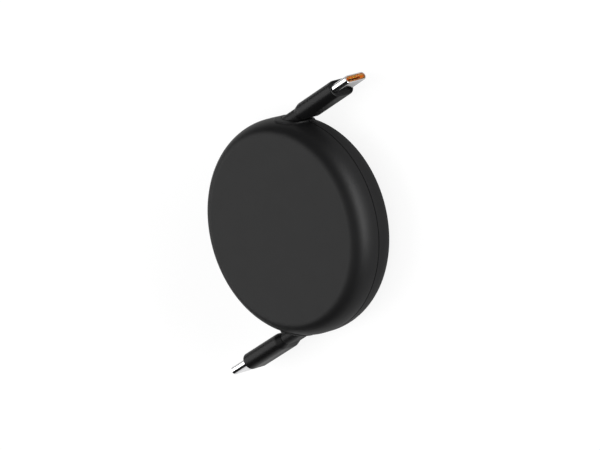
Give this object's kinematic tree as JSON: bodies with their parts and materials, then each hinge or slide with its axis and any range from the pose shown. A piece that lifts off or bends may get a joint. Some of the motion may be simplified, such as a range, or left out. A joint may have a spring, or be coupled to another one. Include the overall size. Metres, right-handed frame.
{
  "type": "retractable charging cable",
  "caption": "Flat round reel case whose flat charging cable pulls out tangentially at opposite sides of the rim, each end with a slim grip and a standard reversible oval plug.",
  "frame": {"origin": "centre of the case's flat rear face", "axes": "+Z is the reel's axis, out of the front face; +X is the way plug A is pulled, on the +Y side"},
  "size_m": [0.0914, 0.064, 0.0152],
  "materials": {
    "case_plastic": "soft-touch matt",
    "grip_plastic": "fine satin",
    "neck_rubber": "matt",
    "cable_jacket": "matt, ribbed",
    "plug_plating": "bright nickel",
    "insulator_plastic": "satin",
    "contact_gold": "gold flash",
    "spring_steel": "rolled strip",
    "fastener_steel": "plain zinc",
    "spool_plastic": "natural",
    "board_laminate": "lacquered",
    "chip_plastic": "moulded"
  },
  "bodies": {
    "housing": {"front_shell": "case_plastic", "rear_shell": "case_plastic", "axle_screw": "fastener_steel", "thrust_washer": "fastener_steel", "latch_ball": "fastener_steel"},
    "spool": {"spool_drum": "spool_plastic", "spool_flange": "spool_plastic", "spring_lid": "spool_plastic", "power_spring": "spring_steel", "cable_winding": "cable_jacket"},
    "plug_a": {"plug_a_strain_relief": "neck_rubber", "plug_a_grip": "grip_plastic", "plug_a_metal_shell": "plug_plating", "plug_a_insulator": "insulator_plastic", "plug_a_contacts": "contact_gold", "plug_a_side_latch": "spring_steel", "plug_a_board": "board_laminate", "plug_a_marker_chip": "chip_plastic", "plug_a_cable_lead": "cable_jacket"},
    "plug_b": {"plug_b_strain_relief": "neck_rubber", "plug_b_grip": "grip_plastic", "plug_b_metal_shell": "plug_plating", "plug_b_insulator": "insulator_plastic", "plug_b_contacts": "contact_gold", "plug_b_side_latch": "spring_steel", "plug_b_board": "board_laminate", "plug_b_marker_chip": "chip_plastic", "plug_b_cable_lead": "cable_jacket"}
  },
  "joints": [
    {"name": "spool_turn", "type": "hinge", "parent": "housing", "child": "spool", "pos_m": [0, 0, 0.0076], "axis": [0, 0, -1], "range_deg": [0, 1200], "stiffness_Nm_per_rad": 0.0008, "springref_deg": -859.44, "deforming": ["power_spring"]},
    {"name": "plug_a_pull", "type": "slide", "parent": "housing", "child": "plug_a", "axis": [1, 0, 0], "range_m": [0, 0.44], "deforming": ["plug_a_cable_lead"]},
    {"name": "plug_b_pull", "type": "slide", "parent": "housing", "child": "plug_b", "axis": [-1, 0, 0], "range_m": [0, 0.44], "deforming": ["plug_b_cable_lead"]}
  ],
  "couplings": [
    {"joint": "plug_a_pull", "follows": "spool_turn", "m_per_rad": 0.021},
    {"joint": "plug_b_pull", "follows": "spool_turn", "m_per_rad": 0.021}
  ]
}
